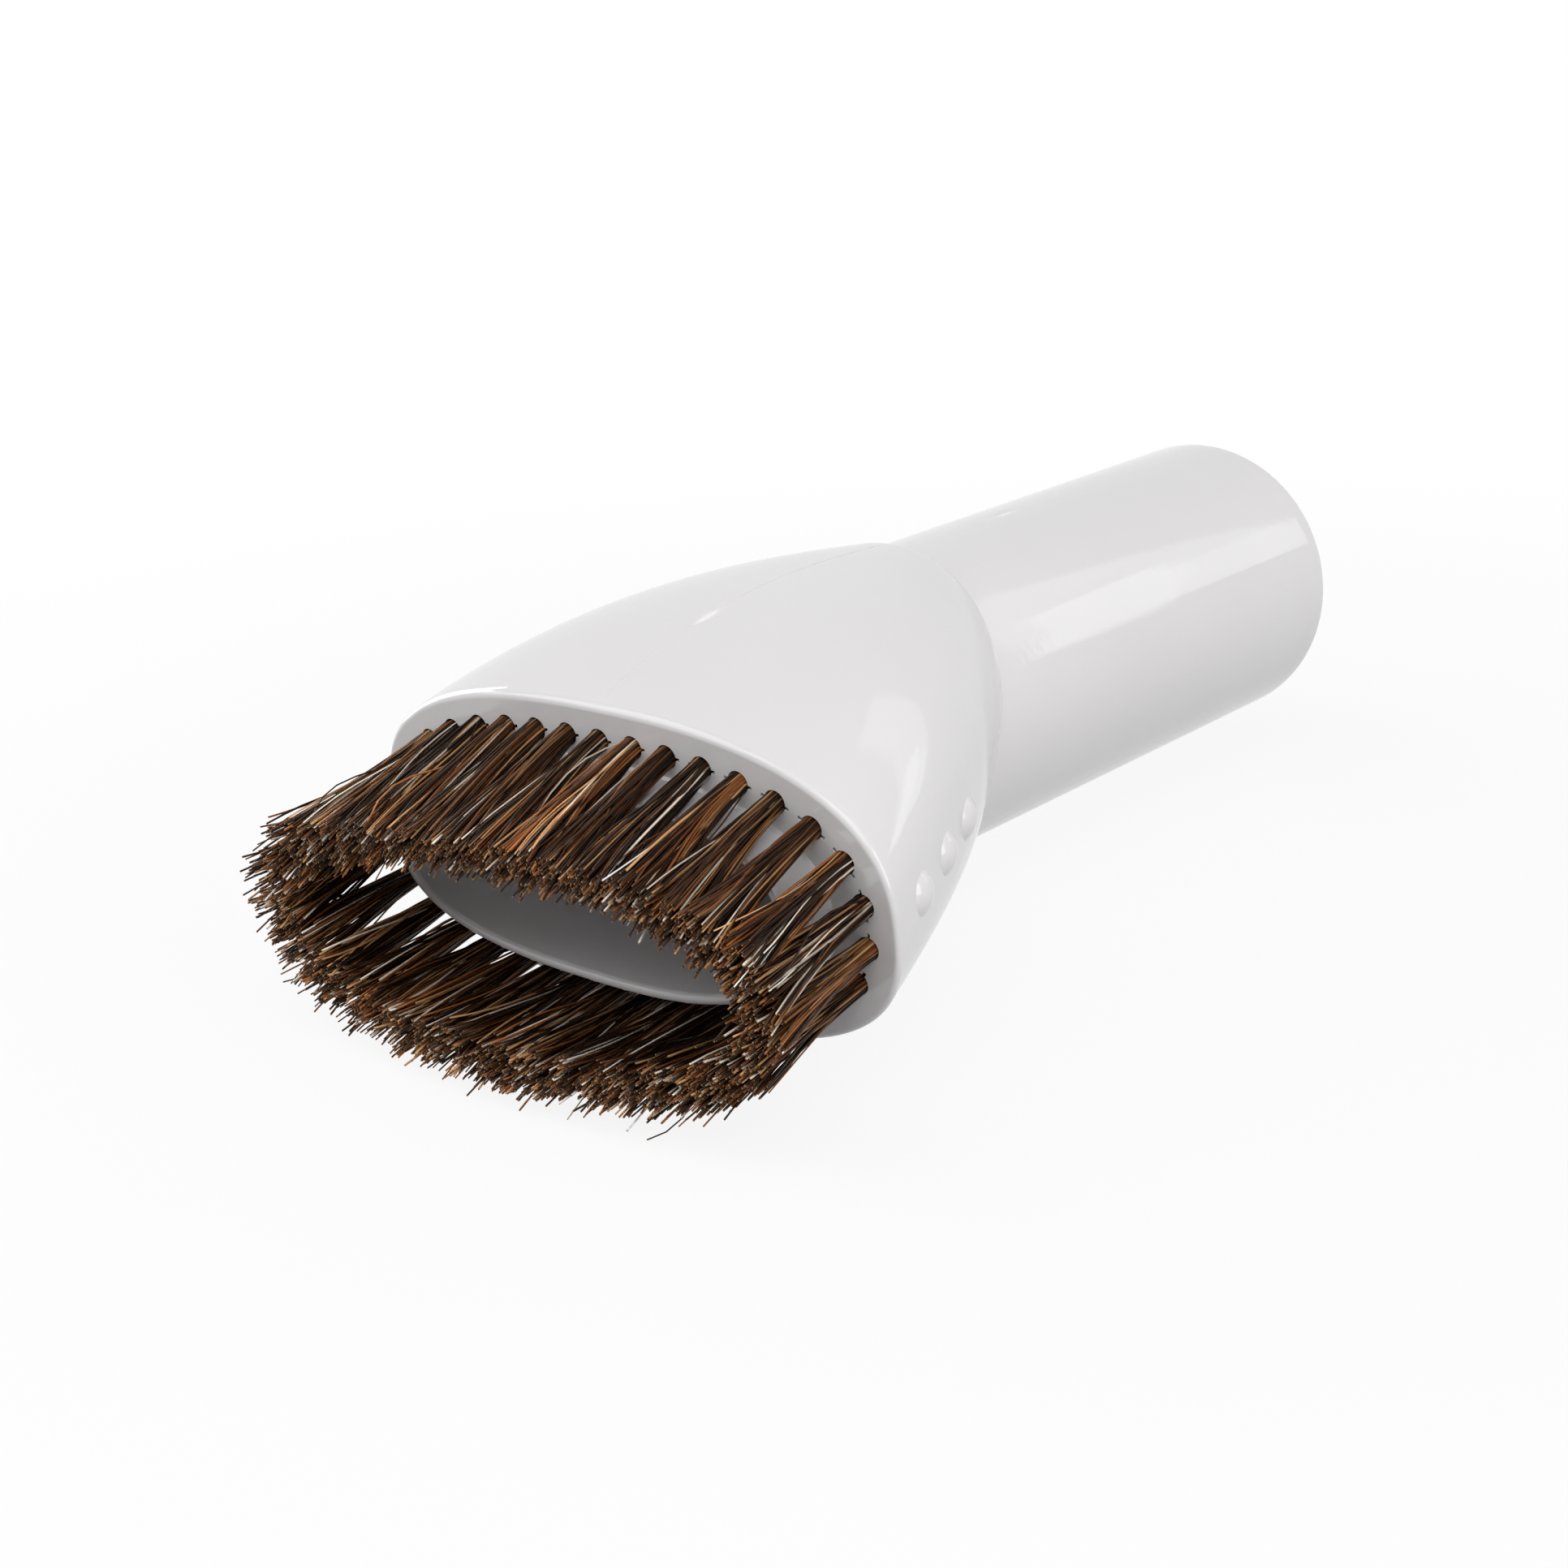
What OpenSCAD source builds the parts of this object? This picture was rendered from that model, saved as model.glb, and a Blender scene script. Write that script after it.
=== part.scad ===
// Vacuum dusting brush: a round neck socket, a head that flares from it to an oval
// mouth, and one row of staple-set bristle tufts round the duct's lip.
// The neck's axis is X, its open end is at the origin, and the mouth faces -X.
// The broad face is up, +Z, as the brush lies on a table.

/* [Neck] */
// Bore of the socket that takes the wand
socket_d = 35; // [30:0.1:38]
// Depth of the socket, from the open end to its stop
socket_depth = 32; // [15:1:40]
// Wall round the socket at its open end
socket_wall = 2.15; // [1.6:0.05:3]
// Length of the neck from the collar to its open end
neck_len = 80.7; // [55:0.1:110]
// How much narrower the neck's outside is at the collar than at its open end
neck_taper = 2.6; // [0:0.1:3]
// Wall of the neck at the collar, round the air passage behind the socket's stop
throat_wall = 2.55; // [1.6:0.05:4]
// Rounding of the open end's outer edge
neck_end_round = 0.3; // [0.1:0.1:1]

/* [Head] */
// Length of the head from the mouth to the collar, along the neck's axis
head_len = 42; // [34:0.5:60]
// Height of the neck's axis above the middle of the mouth
head_drop = 4.6; // [0:0.1:7]
// Step from the neck out to the head's collar
collar_step = 0.6; // [0.3:0.05:1.2]
// Slant of the collar's edge, top towards the open end
collar_slant = 16.7; // [0:0.1:20]
// How much more the crown stands over the neck at the collar than the sides do
crown_lift = 0.7; // [0:0.05:1.5]
// Width of the mouth, along its oval
mouth_w = 71; // [62:0.2:84]
// Height of the mouth, across its oval
mouth_h = 34.6; // [33.6:0.2:44]
// Tilt of the mouth, lower edge set back towards the neck
mouth_tilt = 6.5; // [0:0.1:12]
// Fullness of the oval: 2 is an ellipse, more is squarer
oval_power = 2.55; // [2.2:0.05:3]
// Rounding of the rim's outer edge
rim_round = 1; // [0.5:0.1:1.8]

/* [Duct lip] */
// How far the lip stands out of the middle of the bristle face
lip_reach = 6.4; // [3:0.1:12]
// Distance from the rim to the lip's end, at the mouth's narrow ends
lip_side_margin = 8.2; // [7:0.1:12]
// Distance from the rim to the lip's end, along the mouth's broad sides
lip_top_margin = 6.6; // [6.2:0.1:8]
// Widening of the lip from its end to the bristle face, on each side
lip_draft = 0.4; // [0:0.05:0.5]
// Wall of the lip at its end
lip_wall = 1.1; // [0.8:0.1:1.6]

/* [Bristle tufts] */
// Diameter of a tuft's hole in the bristle face
tuft_hole_d = 2.5; // [2:0.1:2.8]
// Depth of a tuft's hole
tuft_hole_depth = 6; // [4.5:0.1:6.5]
// Room between a tuft and its hole, all round
tuft_fit = 0.05; // [0.02:0.01:0.1]
// Distance from the rim to the edge of the tufts' holes
tuft_margin = 2.4; // [2:0.1:2.6]
// Tufts in the row
tuft_count = 34; // [26:1:36]
// Length of the bristles that stand out of the bristle face
bristle_len = 20.5; // [12:0.5:35]
// Depth of a tuft at its tips, across the row
tip_depth = 7; // [4:0.2:9]
// Gap between neighbouring tufts at their tips
tip_gap = 0.35; // [0.3:0.05:1]
// Unevenness of the cut tips
tip_ragged = 0.7; // [0:0.1:1.5]
// How far the tips sag under their own weight
tip_droop = 1; // [0:0.2:4]

/* [Tuft anchors] */
// Length of an anchor, which bites into the wall on both sides of its hole
anchor_w = 3.3; // [3:0.1:4]
// Height of an anchor
anchor_h = 1.4; // [1:0.1:2]
// Thickness of an anchor
anchor_t = 0.3; // [0.2:0.05:0.4]
// Height of the fold of bristles under an anchor
fold_h = 0.8; // [0.5:0.1:1.5]
// Room round an anchor
anchor_fit = 0.04; // [0.02:0.01:0.08]

/* [Grip bumps] */
// Bumps in the row on each narrow end of the head
bump_count = 3; // [1:1:4]
// Diameter of a bump at its foot
bump_d = 4.8; // [3:0.1:6]
// Height of a bump
bump_rise = 0.8; // [0.4:0.1:1.2]
// Distance from the collar to the first bump
bump_collar_margin = 12; // [9:0.5:14]
// Distance from the last bump to the rim
bump_rim_margin = 8; // [6:0.5:12]

/* [Hidden] */
$fn = 96;

// Corners round the head, and steps from its rim to its collar
HEAD_SIDES = 64;
HEAD_STEPS = 12;
// Steps round the rim's edge
RIM_STEPS = 2;
// Corners round the duct, and steps along it
DUCT_SIDES = 64;
DUCT_STEPS = 9;
// Flutes round a tuft, and the heights of its rings as shares of its free length
FLUTES = 8;
TUFT_LEVELS = [0.88, 0.6, 0.3, 0];

socket_r = socket_d / 2;
neck_end_r = socket_r + socket_wall;
neck_root_r = neck_end_r - neck_taper / 2;
throat_r = neck_root_r - throat_wall;
collar_r = neck_root_r + collar_step;

// Each plane is [x, z, tilt]: its middle, and its lean about Y
mouth = [-neck_len - head_len, -head_drop, mouth_tilt];
collar = [-neck_len, 0, -collar_slant];
lip_end = [mouth[0] - lip_reach, mouth[1], 0];

// How fast the head's outline leaves the rim and reaches the collar
half_w = mouth_w / 2;
half_h = mouth_h / 2;
collar_half_h = collar_r / cos(collar_slant);
side_start = -0.25 * head_len;
side_end = -0.59 * head_len;
crown_start = 0.2 * head_len;
drop_start = 2.7 * head_drop;
drop_end = -0.6 * head_drop;

// The tufts' row: an oval set in from the rim by a steady margin
row_inset = tuft_margin + tuft_hole_d / 2;
row_a = half_w - row_inset;
row_b = half_h - row_inset;
tuft_r = tuft_hole_d / 2 - tuft_fit;
anchor_floor = -tuft_hole_depth + fold_h;

function signed_pow(x, e) = sign(x) * pow(abs(x), e);

function oval_point(a, b, power, t) =
    [a * signed_pow(cos(t), 2 / power), b * signed_pow(sin(t), 2 / power)];

function ease(s, y0, y1, slope0, slope1) =
    (2 * pow(s, 3) - 3 * pow(s, 2) + 1) * y0 + (pow(s, 3) - 2 * pow(s, 2) + s) * slope0
    + (3 * pow(s, 2) - 2 * pow(s, 3)) * y1 + (pow(s, 3) - pow(s, 2)) * slope1;

function mix(s, from, to) = from + (to - from) * s;

// A point [across, up] of a leaning plane, lifted off it by h towards the mouth's side
function on_plane(plane, p, h = 0) = [
    plane[0] - sin(plane[2]) * p[1] - cos(plane[2]) * h,
    p[0],
    plane[1] + cos(plane[2]) * p[1] - sin(plane[2]) * h
];

function ring(plane, a, b, power, sides) =
    [for (j = [0:sides - 1]) on_plane(plane, oval_point(a, b, power, (j + 0.5) * 360 / sides))];

// Faces of a stack of rings with the same number of corners, open at both ends
function side_faces(levels, sides) = [
    for (i = [0:levels - 2], j = [0:sides - 1])
        let (k = (j + 1) % sides)
        [i * sides + j, (i + 1) * sides + j, (i + 1) * sides + k, i * sides + k]
];

module stack(rings) {
    sides = len(rings[0]);
    levels = len(rings);
    first = [for (j = [0:sides - 1]) j];
    last = [for (j = [sides - 1:-1:0]) (levels - 1) * sides + j];
    polyhedron([for (r = rings) each r], concat([first], side_faces(levels, sides), [last]));
}

// Head: s runs from 0 at the mouth to 1 at the collar
function head_lift(s) = crown_lift / 2 * pow(s, 4);

function head_plane(s) = [
    mix(s, mouth[0], collar[0]),
    ease(s, mouth[1], collar[1], drop_start, drop_end) + head_lift(s),
    mix(s, mouth[2], collar[2])
];

function head_half_w(s) = ease(s, half_w, collar_r, side_start, side_end);

function head_half_h(s) = ease(s, half_h, collar_half_h, crown_start, 0) + head_lift(s);

// The oval stays full over the head and turns round just before the collar
function head_power(s) = mix(pow(s, 6), oval_power, 2);

function head_ring(s, inset = 0) =
    ring(head_plane(s), head_half_w(s) - inset, head_half_h(s) - inset, head_power(s), HEAD_SIDES);

module head_shape() {
    rim = [
        for (i = [0:RIM_STEPS - 1])
            let (t = i * 90 / RIM_STEPS)
            head_ring(rim_round * (1 - cos(t)) / head_len, rim_round * (1 - sin(t)))
    ];
    start = rim_round / head_len;
    skin = [for (i = [0:HEAD_STEPS]) head_ring(mix(i / HEAD_STEPS, start, 1))];
    stack(concat(rim, skin));
}

// Neck: slightly wider at its open end, with that edge rounded
module neck_shape() {
    overlap = head_len / 3;
    slope = (neck_end_r - neck_root_r) / neck_len;
    edge = [
        for (t = [0:15:90])
            [neck_end_r - neck_end_round * (1 - cos(t)), -neck_end_round * (1 - sin(t))]
    ];
    rotate([0, 90, 0])
        rotate_extrude()
            polygon(concat(
                [[0, 0], [0, -neck_len - overlap], [neck_root_r - slope * overlap, -neck_len - overlap]],
                edge
            ));
}

// Duct: along the neck's axis, from the throat to the lip's end
lip_a = half_w - lip_side_margin;
lip_b = half_h - lip_top_margin;
lip_root_x = mouth[0] + rim_round;
// The duct ends a little narrower than the throat, so that their walls never lie on each other
duct_end_r = throat_r - 0.25;

module lip_shape() {
    root = [lip_root_x, mouth[1], 0];
    stack([
        ring(lip_end, lip_a, lip_b, oval_power, DUCT_SIDES),
        ring(root, lip_a + lip_draft, lip_b + lip_draft, oval_power, DUCT_SIDES)
    ]);
}

function duct_ring(s) =
    ring(
        [mix(s, lip_root_x, -neck_len), ease(s, mouth[1], 0, 0, 0), 0],
        ease(s, lip_a - lip_wall, duct_end_r, 0, 0),
        ease(s, lip_b - lip_wall, duct_end_r, 0, 0),
        mix(s, oval_power, 2),
        DUCT_SIDES
    );

module duct_hollow() {
    past = 1;
    mouth_end = ring(
        [lip_end[0] - past, lip_end[1], 0],
        lip_a - lip_wall, lip_b - lip_wall, oval_power, DUCT_SIDES
    );
    stack(concat([mouth_end], [for (i = [0:DUCT_STEPS]) duct_ring(i / DUCT_STEPS)]));
}

module neck_hollow() {
    past = 1;
    bottom = -neck_len - past;
    translate([-socket_depth, 0, 0])
        rotate([0, 90, 0])
            cylinder(h = socket_depth + past, r = socket_r);
    translate([bottom, 0, 0])
        rotate([0, 90, 0])
            cylinder(h = -bottom, r = throat_r);
}

// Row of tufts: a table from length along the row to the oval's own angle
ROW_STEPS = 720;

function row_point(t) = oval_point(row_a, row_b, oval_power, t);

row_table = [
    for (
        i = 0, run = 0;
        i <= ROW_STEPS;
        run = run + norm(row_point(90 + (i + 1) * 360 / ROW_STEPS) - row_point(90 + i * 360 / ROW_STEPS)),
        i = i + 1
    ) [run, 90 + i * 360 / ROW_STEPS]
];
row_len = row_table[ROW_STEPS][0];
tuft_step = row_len / tuft_count;
tip_half_w = (tuft_step - tip_gap) / 2;
tip_half_d = tip_depth / 2;

function row_angle(run) = lookup((run + row_len) % row_len, row_table);

// Outward direction of the row, from the slope of the oval
function row_out(t) =
    let (
        g = [
            signed_pow(cos(t), 2 - 2 / oval_power) / row_a,
            signed_pow(sin(t), 2 - 2 / oval_power) / row_b
        ]
    ) g / norm(g);

// A point beside the row: run along it, out across it
function beside_row(run, out) =
    let (t = row_angle(run)) row_point(t) + out * row_out(t);

// The same point when the row is taken as straight at its tuft
function beside_tuft(run0, along, out) =
    let (t = row_angle(run0), n = row_out(t)) row_point(t) + out * n + along * [-n[1], n[0]];

// Tuft: round in its hole, then spreading to its tips between its neighbours
function tuft_ring(index, share, dip = 0) =
    let (
        run0 = (index - 1) * tuft_step,
        spread = pow(max(share, 0), 0.8),
        half_run = mix(spread, tuft_r, tip_half_w),
        half_out = mix(spread, tuft_r, tip_half_d),
        flute = mix(spread, 0.06, 0.2),
        corners = 2 * FLUTES,
        uneven = rands(-tip_ragged, 0, corners, index)
    ) [
        for (j = [0:corners - 1])
            let (
                turn = j * 360 / corners,
                reach = 1 - flute * (j % 2),
                along = half_run * reach * cos(turn),
                out = half_out * reach * sin(turn),
                flat = beside_tuft(run0, along, out),
                bent = beside_row(run0 + along, out),
                sag = [0, tip_droop * pow(max(share, 0), 2)],
                h = share < 0 ? -tuft_hole_depth : bristle_len * share + dip * uneven[j]
            ) on_plane(mouth, mix(spread, flat, bent) - sag, h)
    ];

module tuft_shape(index) {
    corners = 2 * FLUTES;
    rings = concat(
        [tuft_ring(index, 1, 1)],
        [for (share = TUFT_LEVELS) tuft_ring(index, share)],
        [tuft_ring(index, -1)]
    );
    levels = len(rings);
    root = row_point(row_angle((index - 1) * tuft_step));
    middle = on_plane(mouth, root - [0, tip_droop], bristle_len);
    tips = [for (j = [0:corners - 1]) [levels * corners, j, (j + 1) % corners]];
    foot = [for (j = [corners - 1:-1:0]) (levels - 1) * corners + j];
    polyhedron(
        concat([for (r = rings) each r], [middle]),
        concat(tips, side_faces(levels, corners), [foot])
    );
}

// Sets children at a tuft's hole: X along the row, Y across it, Z out of the bristle face
module at_tuft(index) {
    t = row_angle((index - 1) * tuft_step);
    n = row_out(t);
    turn = atan2(n[1], n[0]) - 90;
    translate(on_plane(mouth, row_point(t)))
        rotate([0, -90 - mouth_tilt, 0])
            rotate([0, 0, 90])
                mirror([1, 0, 0])
                    rotate([0, 0, turn])
                        children();
}

module anchor_blank(room, height) {
    size_x = anchor_w + 2 * room;
    size_y = anchor_t + 2 * room;
    translate([-size_x / 2, -size_y / 2, anchor_floor])
        cube([size_x, size_y, height]);
}

module tuft_hole() {
    past = 1;
    translate([0, 0, -tuft_hole_depth])
        cylinder(h = tuft_hole_depth + past, r = tuft_hole_d / 2);
    anchor_blank(anchor_fit, past - anchor_floor);
}

// Grip bumps: round caps in a row on each narrow end of the head
bump_ball_r = (pow(bump_d / 2, 2) + pow(bump_rise, 2)) / (2 * bump_rise);
bump_pitch = (head_len - bump_collar_margin - bump_rim_margin) / max(bump_count - 1, 1);

module grip_bumps() {
    for (side = [-1, 1], i = [0:bump_count - 1]) {
        s = 1 - (bump_collar_margin + i * bump_pitch) / head_len;
        plane = head_plane(s);
        translate([plane[0], side * (head_half_w(s) + bump_rise - bump_ball_r), plane[1]])
            sphere(r = bump_ball_r);
    }
}

module body() {
    color([0.87, 0.865, 0.87])
        difference() {
            union() {
                head_shape();
                neck_shape();
                lip_shape();
                grip_bumps();
            }
            neck_hollow();
            duct_hollow();
            for (i = [1:tuft_count]) at_tuft(i) tuft_hole();
        }
}

module tuft_anchors() {
    color([0.62, 0.6, 0.56])
        for (i = [1:tuft_count]) at_tuft(i) anchor_blank(0, anchor_h);
}

module tuft(index) {
    color(index % 2 == 0 ? [0.27, 0.17, 0.1] : [0.36, 0.23, 0.13])
        difference() {
            tuft_shape(index);
            at_tuft(index)
                translate([0, 0, -anchor_fit])
                    anchor_blank(anchor_fit, anchor_h + 2 * anchor_fit);
        }
}

function tuft_name(i) = str("tuft_", i < 10 ? "0" : "", i);

body();
tuft_anchors();
for (i = [1:tuft_count]) tuft(i);
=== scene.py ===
"""Looks for the vacuum dusting brush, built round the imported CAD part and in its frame.

Metres. +X runs along the neck and out of its open end at the origin, the mouth faces -X,
+Y runs along the mouth's long way and +Z is up.
"""

import math

import bmesh
import bpy
import numpy as np
from mathutils import Matrix, Quaternion, Vector


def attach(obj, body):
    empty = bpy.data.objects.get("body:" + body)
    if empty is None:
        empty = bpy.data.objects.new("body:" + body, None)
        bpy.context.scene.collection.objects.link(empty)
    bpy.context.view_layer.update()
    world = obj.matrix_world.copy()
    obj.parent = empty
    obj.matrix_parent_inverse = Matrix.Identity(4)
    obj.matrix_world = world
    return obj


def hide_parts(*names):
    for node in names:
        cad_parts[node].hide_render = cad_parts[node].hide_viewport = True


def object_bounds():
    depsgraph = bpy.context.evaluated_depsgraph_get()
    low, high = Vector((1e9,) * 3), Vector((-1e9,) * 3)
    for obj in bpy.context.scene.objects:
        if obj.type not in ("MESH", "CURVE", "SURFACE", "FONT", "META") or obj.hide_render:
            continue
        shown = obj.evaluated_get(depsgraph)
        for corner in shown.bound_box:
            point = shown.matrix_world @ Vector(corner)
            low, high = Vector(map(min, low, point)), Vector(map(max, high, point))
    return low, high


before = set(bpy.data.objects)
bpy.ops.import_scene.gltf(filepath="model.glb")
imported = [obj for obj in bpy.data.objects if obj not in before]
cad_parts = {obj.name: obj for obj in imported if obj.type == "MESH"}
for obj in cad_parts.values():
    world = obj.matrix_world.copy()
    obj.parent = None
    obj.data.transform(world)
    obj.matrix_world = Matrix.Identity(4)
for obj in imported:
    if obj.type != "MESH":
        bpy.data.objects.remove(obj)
cad_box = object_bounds()
MM = 0.001

# Driving dimensions of the part, in millimetres, as in its CAD source
NECK_END_R, NECK_ROOT_R, NECK_LEN = 19.65, 18.35, 80.7
NECK_END_ROUND = 0.3
SOCKET_R, SOCKET_DEPTH, THROAT_R = 17.5, 32.0, 15.8
HEAD_LEN, HEAD_DROP = 42.0, 4.6
COLLAR_STEP, COLLAR_SLANT, CROWN_LIFT = 0.6, 16.7, 0.7
MOUTH_A, MOUTH_B, MOUTH_TILT = 35.5, 17.3, 6.5
OVAL_POWER = 2.55
RIM_ROUND = 1.0
LIP_REACH, LIP_A, LIP_B = 6.4, 27.3, 10.7
LIP_DRAFT, LIP_WALL = 0.4, 1.1
TUFT_COUNT, TUFT_R, TUFT_HOLE_R = 34, 1.2, 1.25
ROW_INSET = 3.65
BRISTLE_LEN = 20.5
SLIT_W, SLIT_T = 3.38, 0.38
BUMP_COUNT, BUMP_RISE = 3, 0.8

# Sizes of the scene's own: fine edge rounds, grip bumps where the photograph has them, and
# holes shallower than the source's
RIM_EDGE, COLLAR_EDGE = 0.65, 0.28
LIP_FOOT_R, LIP_END_R, LIP_MOUTH_R = 0.3, 0.35, 0.65
SOCKET_EDGE, SOCKET_FLARE = 0.5, 0.4
BUMP_R, BUMP_START, BUMP_PITCH = 2.1, 22.0, 7.0
HOLE_DEPTH, HOLE_PAST = 4.0, 0.5
SLIT_DEPTH, SLIT_PAST = 3.5, 0.4

# Slopes of the head's curves at its mouth and its collar, as shares of its drop or length
DROP_SLOPES, WIDTH_SLOPES, HEIGHT_SLOPE = (2.7, -0.6), (-0.25, -0.59), 0.2
MOUTH = (-NECK_LEN - HEAD_LEN, -HEAD_DROP, MOUTH_TILT)
COLLAR = (-NECK_LEN, 0.0, -COLLAR_SLANT)
COLLAR_R = NECK_ROOT_R + COLLAR_STEP
COLLAR_B = COLLAR_R / math.cos(math.radians(COLLAR_SLANT))
NECK_SLOPE = (NECK_END_R - NECK_ROOT_R) / NECK_LEN

# The bristle face: its middle, the way it faces and its way up
FACE_TILT = math.radians(MOUTH_TILT)
FACE_MIDDLE = np.array([MOUTH[0], 0, MOUTH[1]])
FACE_NORMAL = np.array([-math.cos(FACE_TILT), 0, -math.sin(FACE_TILT)])
FACE_UP = np.array([-math.sin(FACE_TILT), 0, math.cos(FACE_TILT)])
FACE_ACROSS = np.array([0, 1, 0])


# Curves of the head, as in the CAD source, from the mouth at 0 to the collar at 1
def ease(s, y0, y1, slope0, slope1):
    return (
        (2 * s**3 - 3 * s**2 + 1) * y0
        + (s**3 - 2 * s**2 + s) * slope0
        + (3 * s**2 - 2 * s**3) * y1
        + (s**3 - s**2) * slope1
    )


def mix(s, start, end):
    return start + (end - start) * s


def head_lift(s):
    return CROWN_LIFT / 2 * s**4


def head_plane(s):
    slopes = [share * HEAD_DROP for share in DROP_SLOPES]
    return (
        mix(s, MOUTH[0], COLLAR[0]),
        ease(s, MOUTH[1], COLLAR[1], *slopes) + head_lift(s),
        mix(s, MOUTH[2], COLLAR[2]),
    )


def head_half_w(s):
    slopes = [share * HEAD_LEN for share in WIDTH_SLOPES]
    return ease(s, MOUTH_A, COLLAR_R, *slopes)


def head_half_h(s):
    return ease(s, MOUTH_B, COLLAR_B, HEIGHT_SLOPE * HEAD_LEN, 0) + head_lift(s)


def head_power(s):
    return mix(s**6, OVAL_POWER, 2)


# Rings of points. Every ring of the body has the same columns, which stand closer together
# at the parting line.
EVEN_COLUMNS = 320
SEAM_STEPS = (0.0025, 0.005, 0.0075, 0.011, 0.016, 0.023, 0.031)
TOP, BOTTOM = math.pi / 2, 3 * math.pi / 2


def column_angles():
    angles = [2 * math.pi * (j + 0.5) / EVEN_COLUMNS for j in range(EVEN_COLUMNS)]
    for middle in (TOP, BOTTOM):
        angles.append(middle)
        angles += [middle + side * step for step in SEAM_STEPS for side in (-1, 1)]
    return np.array(sorted(set(angles)))


COLUMNS = column_angles()
SEAM_OFF = np.minimum(np.abs(COLUMNS - TOP), np.abs(COLUMNS - BOTTOM))


def oval(a, b, power):
    """Points of a full oval, evenly turned, so that columns stay smooth over the crown."""
    c, s = np.cos(COLUMNS), np.sin(COLUMNS)
    k = (np.abs(c) ** power + np.abs(s) ** power) ** (-1 / power)
    return np.stack([a * k * c, b * k * s], axis=1)


def on_plane(plane, p):
    """Places p on a plane, given by its place along the neck, its height and its tilt."""
    tilt = math.radians(plane[2])
    x = plane[0] - math.sin(tilt) * p[:, 1]
    return np.stack([x, p[:, 0], plane[1] + math.cos(tilt) * p[:, 1]], axis=1)


def oval_ring(plane, a, b, power):
    return on_plane(plane, oval(a, b, power))


def round_ring(x, r):
    return oval_ring((x, 0.0, 0.0), r, r, 2)


def head_ring(s, down=0.0):
    a, b = head_half_w(s) - down, head_half_h(s) - down
    return oval_ring(head_plane(s), a, b, head_power(s))


def lip_ring(x, inset):
    return oval_ring((x, MOUTH[1], 0.0), LIP_A - inset, LIP_B - inset, OVAL_POWER)


def neck_ring(x, tilt):
    """A slanted cut through the neck's slightly tapered outside."""
    slant = math.tan(math.radians(tilt))
    r = (NECK_END_R + NECK_SLOPE * x) / (1 + NECK_SLOPE * slant * np.sin(COLUMNS))
    y, z = r * np.cos(COLUMNS), r * np.sin(COLUMNS)
    return np.stack([x - slant * z, y, z], axis=1)


def face_ring(margin):
    """A ring on the bristle face, a margin out of the lip as seen along the neck."""
    yz = oval(LIP_A + margin, LIP_B + margin, OVAL_POWER)
    slant = math.tan(FACE_TILT)
    return np.stack([MOUTH[0] - slant * yz[:, 1], yz[:, 0], MOUTH[1] + yz[:, 1]], axis=1)


def quarter(steps, r):
    """(back, down) along a rounded edge of radius r, from its flat to its side."""
    for i in range(steps + 1):
        t = math.radians(90.0 * (i / steps))
        yield r * (1 - math.cos(t)), r * (1 - math.sin(t))


def quarter_back(steps, r):
    """The same edge the other way round, without its first point."""
    return list(quarter(steps, r))[::-1][1:]


# The body
NECK_STEPS, HEAD_STEPS, DUCT_STEPS, BORE_STEPS = 34, 100, 40, 6
FACE_SHARES = (0.02, 0.35, 0.7, 1.0)
LIP_SHARES = (0.0, 0.25, 0.5, 0.75, 1.0)
# Place along the neck's axis, height, half length and half width of each gate's mark
GATES = ((-50.5, 0.34, 1.5, 0.5), (-107.0, 0.36, 2.3, 0.5))
GATE_RINGS = tuple(GATES[0][0] + 0.5 * k for k in range(-7, 8))
# Strength and cut-off of the painted highlight over the gates' marks
HIGHLIGHT_GAIN, HIGHLIGHT_CUT = 2.2, 0.6
# The parting line: its height, its half width in radians, how far its ends lie past the
# middles of the collar's and the mouth's planes, and the length of its fade at the mouth
SEAM_RISE, SEAM_HALF_W = 0.07, 0.0048
SEAM_PAST_COLLAR, SEAM_PAST_MOUTH, SEAM_FADE = 4.6, 0.8, 1.5
# Rings that can carry it, counted from the neck's end: on the head, and short of the face
SEAM_FIRST_RING, OUTSIDE_RINGS = 57, 165


def outer_rings():
    """Neck from its open end, collar's step and head, as far as the rim's round edge."""
    rings = [round_ring(-down, NECK_END_R - back) for back, down in quarter(6, NECK_END_ROUND)]
    rings.reverse()
    places = [i / NECK_STEPS for i in range(1, NECK_STEPS + 1)]
    places += [(-x - NECK_END_ROUND) / (NECK_LEN - NECK_END_ROUND) for x in GATE_RINGS]
    for s in sorted(places):
        rings.append(neck_ring(mix(s, -NECK_END_ROUND, -NECK_LEN), -COLLAR_SLANT * s**2))
    for back, down in quarter(4, COLLAR_EDGE):
        rings.append(head_ring(1 - back / HEAD_LEN, down))
    for i in range(1, HEAD_STEPS + 1):
        s = mix(i / HEAD_STEPS, 1 - COLLAR_EDGE / HEAD_LEN, RIM_EDGE / HEAD_LEN)
        rings.append(head_ring(s))
    for back, down in quarter_back(8, RIM_EDGE):
        s = back / HEAD_LEN
        a, b = head_half_w(s) - down, head_half_h(s) - down
        rings.append(oval_ring(head_plane(s), a, b, OVAL_POWER))
    return rings


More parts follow.
